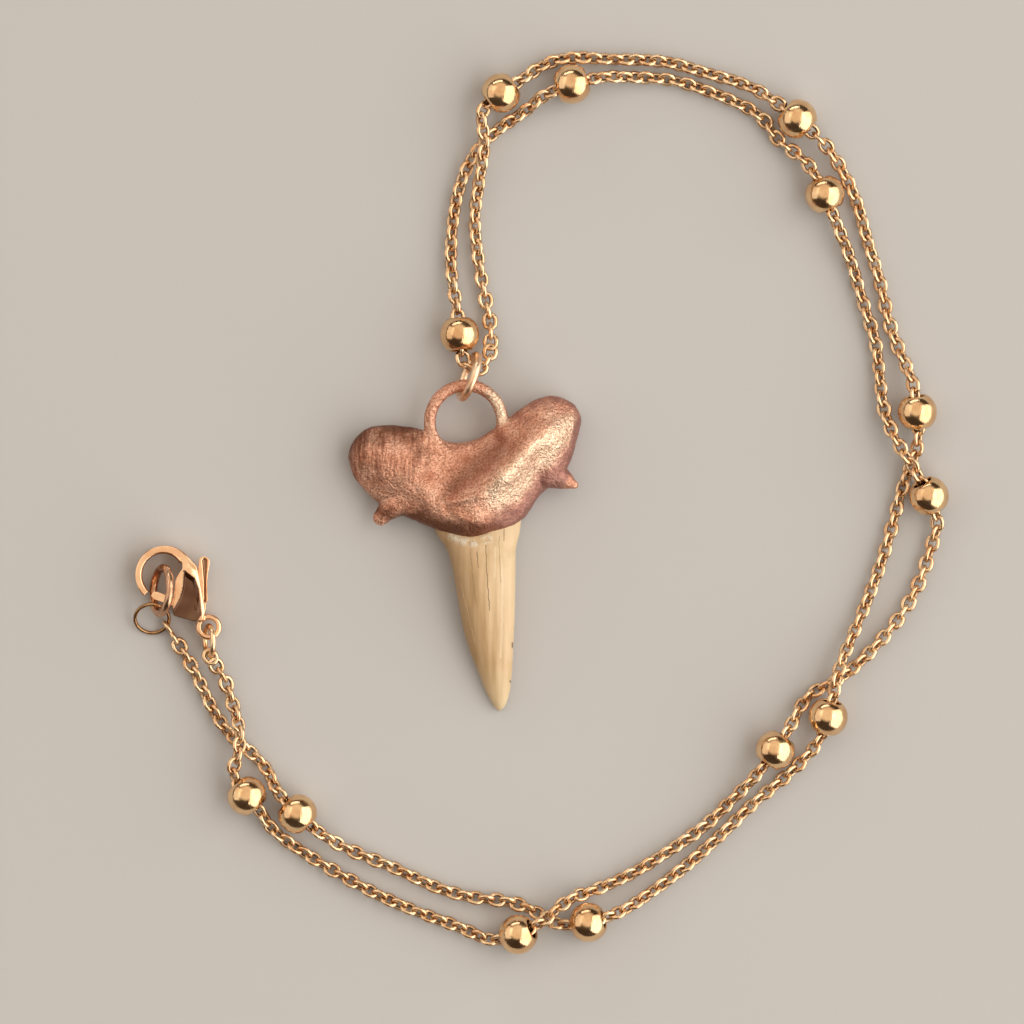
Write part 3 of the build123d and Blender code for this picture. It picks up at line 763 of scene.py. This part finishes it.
# The marks on the copper: combed on its left lobe, darkened along its lower and upper edges partly by tarnish
# and partly as painted shade, darkened in the folds as painted shade, and paled along its ridge as a painted
# highlight. Places and distances are in millimetres.
tarnish_and_shade = root_skin.verts.layers.float.new("tarnish_and_shade")
combed = root_skin.verts.layers.float.new("combed")
painted_highlight = root_skin.verts.layers.float.new("painted_highlight")
moves = []
for vert in root_skin.verts:
    co = vert.co / MM
    seen = co.to_2d()
    facing_up = max(0, vert.normal.z)
    from_bail = abs((seen - bail_middle.to_2d() / MM).length - bail_radius / MM)
    on_bail = co.y > 7.4 and from_bail < 0.9
    lump = 0.09 * noise.noise(co * 0.6) + 0.04 * noise.noise(co * 1.5 + Vector((9, 2, 4)))
    wrinkle = 0.03 * noise.noise(Vector((co.x * 2.9 + co.y * 0.9, co.y * 1.8 - co.x * 0.7, co.z * 2.4)))
    grain = 0.02 * noise.noise(co * 4.5) + 0.025 * noise.noise(co * 9.0)
    moves.append(vert.normal * ((lump + wrinkle) * (0.3 if on_bail else 1) + grain) * MM)

    vert[combed] = clamped((-10.5 - co.x) / 3) * clamped((co.y - 1.5) / 2.5)

    foot, top = smooth_between(root_sections, (vert.co.x - root_left) / root_width)[:2]
    over_foot = co.y - (foot * root_height + root_foot) / MM
    under_top = (top * root_height + root_foot) / MM - co.y
    on_right = clamped((co.x + 7.0) / 3)
    on_left_lobe = clamped((-13.0 - co.x) / 2.5)
    beside_bail = clamped((from_bail - 0.5) / 0.9)
    below_foot = clamped((-0.9 - over_foot) / 0.8)
    ragged = 0.5 * noise.noise(co * 0.8) + 0.25 * noise.noise(co * 2.1)
    # The bands along the lower and upper edges are darkened partly by tarnish and partly as painted shade
    foot_band = 1.7 + 0.3 * on_right - 1.2 * on_left_lobe - over_foot / (1.25 + 0.35 * on_right) + ragged
    foot_band = min(1, foot_band) * (1 - 0.9 * below_foot)
    top_band = min(1, 1.1 - 0.35 * on_right - under_top / 2.6 + ragged) if abs(co.x + 7.6) > 3.6 else 0
    # The folds' valleys are darkened as painted shade
    fold_shade = 0.05 - 0.9 * fold_rise(seen)
    vert[tarnish_and_shade] = clamped(max(foot_band, top_band * beside_bail, fold_shade * facing_up))
    # The painted highlight along the ridge, kept off the darkened places
    vert[painted_highlight] = highlight_share(seen) * facing_up * (1 - vert[tarnish_and_shade])
for vert, move in zip(root_skin.verts, moves):
    vert.co += move

comb_turn = 17
copper = Paint("plated_copper")
tone = copper.ramp(
    copper.noise(480, 6), (0.30, (0.62, 0.29, 0.19)), (0.50, (0.87, 0.49, 0.35)), (0.72, (0.95, 0.63, 0.48))
)
# The painted highlight pales the copper's colour to cream
tone = copper.mix(copper.spread(copper.mark("painted_highlight"), 0, 0.95), tone, (1.0, 0.84, 0.64))
tone = copper.mix(copper.spread(copper.noise(5200, 2), 0, 0.75, 0.42, 0.66), tone, (0.36, 0.13, 0.07))
comb_marks = copper.spread(copper.noise(2600, 3, (1, 0.1, 0.3), comb_turn), 0, 0.7, 0.45, 0.62)
tone = copper.mix(copper.combine(comb_marks, copper.mark("combed")), tone, (0.26, 0.10, 0.06))
across_root = copper.step("SeparateXYZ", "X", {"Vector": copper.where})
right_side = copper.spread(across_root, 0, 1, -7 * MM, -3 * MM)
# The colour of the tarnish and painted shade, more purple towards the right
tarnish_and_shade_tone = copper.mix(right_side, (0.15, 0.05, 0.025), (0.33, 0.16, 0.14))
tone = copper.mix(copper.spread(copper.mark("tarnish_and_shade"), 0, 0.84), tone, tarnish_and_shade_tone)
satin = copper.spread(copper.noise(1700, 4), 0.40, 0.62, 0.3, 0.7)
satin = copper.combine(satin, copper.spread(copper.mark("painted_highlight"), 1, 0.72))
skin = copper.bump(copper.noise(1400, 4), 0.08 * MM, 0.35)
skin = copper.bump(copper.noise(3400, 2), 0.16 * MM, 0.9, skin)
skin = copper.bump(copper.noise(6500, 2), 0.07 * MM, 0.9, skin)
skin = copper.bump(copper.noise(3400, 2, (1, 0.12, 0.3), comb_turn), 0.16 * MM, copper.mark("combed"), skin)
copper.dress(0.92, tone, satin, skin)
add_piece("copper_coating", root_skin, copper.material, "necklace", "copper_root")


# The blade is fossil enamel, hard and glossy and tan, with fine dark cracks down its length and a crusty pale
# band where the copper ends. Its right side is painted paler as painted light, and its left side darker as
# painted shade. It is one with the root inside the copper.
blade_left = -11.4 * MM
blade_width = 9.2 * MM
blade_top = -2.6 * MM
blade_length = 19.2 * MM
blade_thickness = 4.5 * MM
blade_rise = 0.75 * MM

# Sections down the blade: the place, the left and right edge as shares of the width, the thickness, and the
# lift of its flat face as a share of the rise
blade_sections = [
    (-0.09, -0.02, 1.00, 0.60, 1.0),
    (0.01, 0.01, 0.978, 0.70, 1.0),
    (0.10, 0.13, 0.935, 0.87, 0.85),
    (0.20, 0.195, 0.93, 0.90, 0.7),
    (0.345, 0.25, 0.925, 0.86, 0.5),
    (0.47, 0.295, 0.92, 0.78, 0.35),
    (0.58, 0.345, 0.91, 0.70, 0.25),
    (0.68, 0.41, 0.90, 0.61, 0.2),
    (0.80, 0.51, 0.885, 0.50, 0.15),
    (0.895, 0.59, 0.86, 0.38, 0.15),
    (0.965, 0.67, 0.815, 0.26, 0.15),
    (1.000, 0.72, 0.765, 0.14, 0.2),
]
blade_edge_height = 0.42
blade_end_rounding = 0.22
face_fullness = 0.85
back_fullness = 0.6

blade_form = bmesh.new()
upright = Matrix.Rotation(-math.pi / 2, 4, "X")
bmesh.ops.create_uvsphere(blade_form, u_segments=80, v_segments=120, radius=1, matrix=upright)
for vert in blade_form.verts:
    ball = vert.co.copy()
    ring = max(1e-6, math.hypot(ball.x, ball.z))
    down = blade_sections[0][0] + (1 - blade_sections[0][0]) * (1 - ball.y) / 2
    left, right, thick, lift = smooth_between(blade_sections, down)
    cap = min(1, ring / blade_end_rounding)
    across = ball.x / ring
    up = ball.z / ring
    if up >= 0:
        z = blade_edge_height + (1 - blade_edge_height) * up**face_fullness * cap
    else:
        z = blade_edge_height - blade_edge_height * abs(up) ** back_fullness * cap
    middle, half = (left + right) / 2, (right - left) / 2
    vert.co = Vector((
        blade_left + (middle + half * cap * across) * blade_width,
        blade_top - down * blade_length,
        lift * blade_rise + z * thick * blade_thickness,
    ))

# Lines on the enamel, seen from above in millimetres: places along each, and its half width
dark_cracks = [
    ([(-6.95, -4.9), (-6.86, -5.8), (-6.8, -6.6)], 0.05),
    ([(-6.0, -4.2), (-5.95, -6.4), (-5.8, -8.3), (-5.6, -11.1)], 0.055),
    ([(-4.1, -2.5), (-4.05, -3.1), (-4.15, -3.7)], 0.06),
    ([(-4.6, -3.2), (-4.55, -5.8), (-4.4, -8.2)], 0.025),
    ([(-7.6, -4.6), (-7.4, -7.4), (-7.0, -10.6)], 0.022),
]
# Pale lines: the wide one from (-4.3, -5.6) is a painted highlight streak, and the others are pale scratches
pale_scratches_and_highlight = [
    ([(-8.6, -8.2), (-8.25, -9.9), (-7.79, -12.0), (-7.15, -14.4)], 0.055),
    ([(-4.3, -5.6), (-4.25, -9.0), (-4.3, -13.6), (-4.45, -16.0)], 0.16),
    ([(-5.0, -4.4), (-5.05, -7.6)], 0.12),
]
dark_specks = [([(-3.2, -14.65), (-3.18, -14.95)], 0.2), ([(-3.4, -18.62), (-3.38, -18.78)], 0.14)]
crust_line = [([(-9.6, -3.3), (-8.4, -3.85), (-7.0, -4.0), (-5.6, -3.5)], 0.6)]

enamel = Paint("fossil_enamel")
enamel.shader.inputs["Coat Weight"].default_value = 0.15
enamel.shader.inputs["Coat Roughness"].default_value = 0.25
enamel.shader.inputs["Specular IOR Level"].default_value = 0.35
enamel.shader.inputs["Subsurface Weight"].default_value = 0.12
enamel.shader.inputs["Subsurface Radius"].default_value = (0.8 * MM, 0.5 * MM, 0.25 * MM)

# Where a place on the blade is, seen from above in millimetres, and the same place wandering a little, which
# keeps the lines from being ruled
flat_place = enamel.vector("MULTIPLY", enamel.where, (1 / MM, 1 / MM, 0))
wander = enamel.step("TexNoise", "Color", {"Vector": flat_place, "Scale": 1.6, "Detail": 3})
shift = enamel.vector("MULTIPLY", enamel.vector("SUBTRACT", wander, (0.5, 0.5, 0.5)), (0.35, 0.35, 0))
wandered = enamel.vector("ADD", flat_place, shift)


def near_lines(lines):
    """How near a place on the blade is to any of some lines, from 0 to 1."""
    nearest = None
    for places, half_width in lines:
        for start, end in zip(places, places[1:]):
            run = Vector((end[0] - start[0], end[1] - start[1], 0))
            away = enamel.vector("SUBTRACT", wandered, (*start, 0))
            share = enamel.vector("DOT_PRODUCT", away, run / run.length_squared)
            share = enamel.combine(share, 1.0, clamp=True)
            along = enamel.step("VectorMath", "Vector", {0: run, "Scale": share}, operation="SCALE")
            near = enamel.spread(enamel.vector("DISTANCE", away, along), 1, 0, 0, half_width)
            nearest = near if nearest is None else enamel.combine(nearest, near, "MAXIMUM")
    return nearest


upper_face = enamel.spread(
    enamel.step("SeparateXYZ", "Z", {"Vector": enamel.step("TexCoord", "Normal")}), 0, 1, 0.02, 0.18
)
across_blade = enamel.vector("DOT_PRODUCT", flat_place, (0.975, 0.22, 0))
down_blade = enamel.vector("DOT_PRODUCT", flat_place, (0, -1, 0))
cracks = enamel.combine(near_lines(dark_cracks), upper_face)
scratches_and_highlight = enamel.combine(near_lines(pale_scratches_and_highlight), upper_face)
specks = enamel.combine(near_lines(dark_specks), upper_face)
crust = enamel.combine(near_lines(crust_line), enamel.spread(enamel.noise(1500, 4), 0, 1, 0.38, 0.55))

streaks = enamel.noise(700, 4, (2.2, 0.14, 1), -7)
tone = enamel.ramp(streaks, (0.30, (0.50, 0.33, 0.17)), (0.50, (0.65, 0.45, 0.26)), (0.70, (0.75, 0.57, 0.36)))
# The right side is painted paler as painted light
tone = enamel.mix(enamel.spread(across_blade, 0, 0.7, -8.6, -5.4), tone, (0.73, 0.57, 0.37))
# The left side is painted darker as painted shade
tone = enamel.mix(enamel.spread(across_blade, 0.75, 0, -10.6, -8.0), tone, (0.34, 0.21, 0.10))
tone = enamel.mix(enamel.spread(down_blade, 0, 0.5, 16.5, 21.5), tone, (0.84, 0.72, 0.47))
tone = enamel.mix(enamel.spread(enamel.noise(330, 4), 0, 0.55, 0.56, 0.74), tone, (0.56, 0.38, 0.19))
tone = enamel.mix(enamel.spread(scratches_and_highlight, 0, 0.36), tone, (0.86, 0.76, 0.58))
tone = enamel.mix(crust, tone, (0.78, 0.72, 0.60))
tone = enamel.mix(cracks, tone, (0.16, 0.10, 0.05))
tone = enamel.mix(specks, tone, (0.10, 0.07, 0.05))
fine = enamel.noise(2600, 3)
face = enamel.bump(streaks, 0.05 * MM, 0.25)
face = enamel.bump(fine, 0.02 * MM, 0.2, face)
face = enamel.bump(enamel.spread(cracks, 1, 0), 0.06 * MM, 0.8, face)
face = enamel.bump(enamel.combine(crust, fine), 0.30 * MM, 0.8, face)
enamel.dress(0, tone, enamel.spread(crust, 0.42, 0.8), face)
add_piece("enamel_blade", blade_form, enamel.material, "necklace", "tooth")


# The lobster clasp is cast in one piece: a long curved claw with a flat bevelled top, a body of two cheeks
# with a slot between them for the lever, and a round eye. It is rose gold and polished, and it is hooked over
# the thick ring.
clasp_middle = Vector((-35.35, -12.88, 1.6)) * MM
clasp_heading = math.radians(131.8)
clasp_place = Matrix.Translation(clasp_middle) @ Matrix.Rotation(clasp_heading, 4, "Z")
clasp_voxel = 0.075 * MM
clasp_bevel = 0.09 * MM
clasp_top = 1.5 * MM
slot_half = 0.55 * MM
eye_reach = 1.38 * MM
eye_hole = 0.8 * MM
eye_top = 0.65 * MM
claw_middle = Vector((7.2, -0.2, 0)) * MM
claw_reach = 3.15 * MM
claw_top = 0.95 * MM
claw_start = math.radians(-95)
claw_turn = math.radians(188)
claw_tip_width = 0.76 * MM
claw_root_width = 1.15 * MM

# Outlines in the clasp's own plane, in millimetres: along it from the eye, and to the side of its gate
cheek_outline = [
    (7.2, -3.34), (5.69, -3.34), (4.46, -2.71), (3.24, -1.95), (1.44, -0.82), (0.94, 0.0), (1.44, 0.69),
    (2.88, 1.64), (3.38, 1.95), (3.96, 1.58), (6.19, -0.88), (6.48, -2.08), (7.2, -2.65),
]
claw_stem = [(7.2, -3.34), (5.9, -3.34), (5.3, -2.95), (5.6, -1.9), (6.1, -1.2), (6.48, -2.08), (7.2, -2.65)]
eye_stem = [(1.44, -0.82), (0.94, 0.0), (1.44, 0.69), (1.75, 0.6), (1.3, 0.0), (1.6, -0.6)]


def plate(form, outline, low, high):
    """Adds a flat plate with an outline in millimetres, from one height to another."""
    face = form.faces.new([form.verts.new((x * MM, y * MM, low)) for x, y in outline])
    raised = bmesh.ops.extrude_face_region(form, geom=[face], use_keep_orig=True)["geom"]
    bmesh.ops.translate(form, verts=corners_in(raised), vec=(0, 0, high - low))
    bmesh.ops.recalc_face_normals(form, faces=form.faces)


def spun(form, outline, middle, start, turn, steps):
    """Spins a closed outline of radius and height round an upright axis, and closes the ends of a part turn."""
    turned = Matrix.Translation(middle) @ Matrix.Rotation(start, 4, "Z")
    section = closed_line(form, [turned @ Vector((reach, 0, height)) for reach, height in outline])
    whole = turn > math.tau - 0.001
    made = bmesh.ops.spin(
        form, geom=section, cent=middle, axis=(0, 0, 1), angle=turn, steps=steps, use_merge=whole
    )
    if not whole:
        bmesh.ops.edgeloop_fill(form, edges=edges_in(section))
        bmesh.ops.edgeloop_fill(form, edges=edges_in(made["geom_last"]))
    bmesh.ops.recalc_face_normals(form, faces=form.faces)


clasp_form = bmesh.new()
plate(clasp_form, cheek_outline, slot_half, clasp_top)
plate(clasp_form, cheek_outline, -clasp_top, -slot_half)
plate(clasp_form, claw_stem, -claw_top, claw_top)
plate(clasp_form, eye_stem, -eye_top, eye_top)
eye_outline = [
    (eye_hole, eye_top - clasp_bevel),
    (eye_hole + clasp_bevel, eye_top),
    (eye_reach - 2 * clasp_bevel, eye_top),
    (eye_reach, eye_top - 2 * clasp_bevel),
]
eye_outline += [(reach, -height) for reach, height in reversed(eye_outline)]
spun(clasp_form, eye_outline, Vector((0, 0, 0)), 0, math.tau, 48)
claw_inside = claw_reach - claw_tip_width
claw_outline = [
    (claw_reach, claw_top - clasp_bevel),
    (claw_reach - clasp_bevel, claw_top),
    (claw_inside + 1.4 * clasp_bevel, claw_top),
    (claw_inside, claw_top - 2.5 * clasp_bevel),
    (claw_inside, 2.5 * clasp_bevel - claw_top),
    (claw_inside + clasp_bevel, -claw_top),
    (claw_reach - clasp_bevel, -claw_top),
    (claw_reach, clasp_bevel - claw_top),
]
first = len(clasp_form.verts)
spun(clasp_form, claw_outline, claw_middle, claw_start, claw_turn, 72)
clasp_form.verts.ensure_lookup_table()

# The claw is wider and higher where it leaves the cheeks than at its tip
for vert in clasp_form.verts[first:]:
    out = vert.co - claw_middle
    height = out.z
    out.z = 0
    share = ((math.atan2(out.y, out.x) - claw_start) % math.tau) / claw_turn
    width = claw_tip_width + (claw_root_width - claw_tip_width) * max(0, 1 - 1.7 * share) ** 1.5
    reach = claw_reach - (claw_reach - out.length) * width / claw_tip_width
    vert.co = claw_middle + out.normalized() * reach
    vert.co.z = height * (1 + (clasp_top / claw_top - 1) * (1 - min(1, max(0, share - 0.04) / 0.3)) ** 1.5)

clasp_skin = joined_skin(clasp_form, clasp_voxel)
smoothed(clasp_skin, clasp_skin.verts, 1)

# The top is dished along the gate's side, and slopes down outside the dish's ridge. The ends of the dish, its
# width and bow, and its ridge are in millimetres, seen from above.
dish_from, dish_to = Vector((6.15, -2.0)), Vector((3.75, 1.9))
dish_width = 2.9
dish_bow = 0.45
dish_depth = 0.5 * MM
dish_floor = slot_half + 0.25 * MM
shoulder_slope = 0.62
shoulder_drop = 0.4 * MM
dish_ridge = [(7.6, -2.5), (6.15, -2.2), (4.79, -2.45), (3.63, -2.0), (2.33, -1.08), (1.38, -0.4)]


def inside_of(place, line):
    """The distance from a line of points to a place on its gate side, less than 0 on its thumb side."""
    nearest, on_gate_side = math.inf, False
    for start, end in zip(line, line[1:]):
        away = beside(place, start, end)[1]
        if away < nearest:
            nearest = away
            on_gate_side = (place - Vector(start)).cross(Vector(end) - Vector(start)) > 0
    return nearest if on_gate_side else -nearest


painted_shade = clasp_skin.verts.layers.float.new("painted_shade")
for vert in clasp_skin.verts:
    if vert.co.z > dish_floor:
        seen = vert.co.to_2d() / MM
        bow = dish_bow * math.sin(math.pi * beside(seen, dish_from, dish_to)[0])
        share = ((dish_to - dish_from).normalized().cross(seen - dish_from) - bow) / dish_width
        from_ridge = inside_of(seen, dish_ridge)
        inside = min(1, max(0, from_ridge - 0.06) / 0.45)
        deep = inside * min(1, share * 40) * (1 - share) ** 0.8 if 0 < share < 1 else 0
        on_top = min(1, (vert.co.z - dish_floor) / (0.5 * MM))
        vert.co.z -= dish_depth * deep * on_top
        if from_ridge < 0:
            before_claw = clamped((6.8 - seen.x) / 2.4)
            vert.co.z -= min(shoulder_drop, -from_ridge * MM * shoulder_slope) * on_top * before_claw
        # The dish and its wall are painted dark as painted shade, which also dims the highlight along the
        # dish's rim
        dish_shade = 1 if from_ridge > 0.1 and -0.035 < share < 1 else 0
        vert[painted_shade] = dish_shade * (0.95 + 0.07 * noise.noise(seen.to_3d() * 0.7))

rose_gold = polished_metal("rose_gold", (1.0, 0.68, 0.43), (0.90, 0.54, 0.32), 0.16, 0.1, 0.02)
add_piece("clasp_casting", clasp_skin, rose_gold, "necklace", "clasp_body", clasp_place)


# The lever is one stamped bar on a rivet through the cheeks. Its square end closes the claw, and its broad
# grooved end stands out of the clasp's back for the thumb. The rivet is flush with the cheeks.
lever_half = 0.45 * MM
lever_voxel = 0.055 * MM
pivot = Vector((2.3, -0.5, 0)) * MM
pin_reach = 0.35 * MM
pin_play = 0.04 * MM
hub_reach = 0.85 * MM
gate_outline = [
    (2.7, -1.0), (1.9, 0.1), (4.2, 1.35), (6.05, 2.38), (6.56, 2.42), (6.72, 1.86), (6.4, 1.55), (4.6, 0.6),
]
thumb_outline = [
    (5.75, -3.72), (6.10, -4.10), (6.05, -4.52), (5.68, -4.82), (5.22, -4.78), (4.78, -4.36), (4.25, -3.66),
    (3.68, -3.06), (2.9, -2.36), (2.2, -1.78), (1.9, -1.1), (2.4, -0.3), (2.95, -0.6), (3.5, -1.8), (4.2, -2.4),
    (5.05, -2.95),
]
hub_outline = [
    (pin_reach + pin_play, lever_half),
    (hub_reach, lever_half),
    (hub_reach, -lever_half),
    (pin_reach + pin_play, -lever_half),
]
lever_form = bmesh.new()
plate(lever_form, gate_outline, -lever_half, lever_half)
plate(lever_form, thumb_outline, -lever_half, lever_half)
spun(lever_form, hub_outline, pivot, 0, math.tau, 32)
lever_skin = joined_skin(lever_form, lever_voxel)

# The groove runs down the middle of the thumb piece's top, and narrows towards the hub. It is painted dark as
# painted shade.
groove_from, groove_to = (5.5, -4.35), (2.3, -1.55)
groove_depth = 0.3 * MM
painted_shade = lever_skin.verts.layers.float.new("painted_shade")
for vert in lever_skin.verts:
    if vert.co.z > lever_half - 0.1 * MM:
        share, away = beside(vert.co.to_2d() / MM, groove_from, groove_to)
        away /= 0.30 - 0.16 * min(1, share * 2)
        vert.co.z -= groove_depth * max(0, 1 - away**4)
        vert[painted_shade] = max(0, 1 - away**2) * 0.9
add_piece("lever_bar", lever_skin, rose_gold, "lever", "clasp_lever", clasp_place)

pin_low, pin_high = -1.5 * MM, 1.3 * MM
pin_place = clasp_place @ Matrix.Translation(pivot + Vector((0, 0, (pin_low + pin_high) / 2)))
pin_form = bmesh.new()
bmesh.ops.create_cone(
    pin_form, cap_ends=True, segments=24, radius1=pin_reach, radius2=pin_reach, depth=pin_high - pin_low
)
for head in [face for face in pin_form.faces if len(face.verts) > 4]:
    bmesh.ops.inset_region(pin_form, faces=[head], thickness=0.12 * MM)
    bmesh.ops.translate(pin_form, verts=head.verts, vec=head.normal * 0.05 * MM)
# The whole rivet is painted dark with painted shade
painted_shade = pin_form.verts.layers.float.new("painted_shade")
for vert in pin_form.verts:
    vert[painted_shade] = 0.93
add_piece("rivet", pin_form, rose_gold, "necklace", "clasp_pin", pin_place)


# The clasp's eye holds a small jump ring, the claw holds a thick one, and a thin ring links that to the chain.
# A last chain link hangs on each end ring.
# Painted shade: the thin ring's gold is a dark copy, and the thick ring's pinkish old gold is darkened too
dark_gold = polished_metal("dark_gold", (0.55, 0.33, 0.16), (0.26, 0.13, 0.06), 0.2, 0.3, 0.3)
old_gold_and_shade = polished_metal("old_gold_and_shade", (0.74, 0.46, 0.29), (0.36, 0.19, 0.12), 0.2, 0.25, 0.25)
eye_ring_place = laid((-35.3247, -14.3298, 1.83), -89.0, 72.0)
hook_ring_place = laid((-40.3299, -9.0093, 2.7), -95.4, 67.0)
end_ring_place = laid((-41.3999, -11.9993, 1.2), 0, 32.0)
add_ring("eye_jump_ring", "clasp_eye_ring", chain_gold, eye_ring_place, 3.7, 0.6, 200)
add_ring("thick_jump_ring", "hook_ring", old_gold_and_shade, hook_ring_place, 5.7, 0.85, 150)
add_ring("thin_jump_ring", "end_ring", dark_gold, end_ring_place, 4.0, 0.4, 60)
last_links = {"a": laid((-35.1944, -16.027, 1.83), -55.0, 0), "b": laid((-39.6785, -12.9905, 0.825), -54.5, 90)}
for strand, place in last_links.items():
    node = "end_link_" + strand
    add_piece("last_link_" + strand, oval_link_form(), chain_gold, "necklace", node, place)
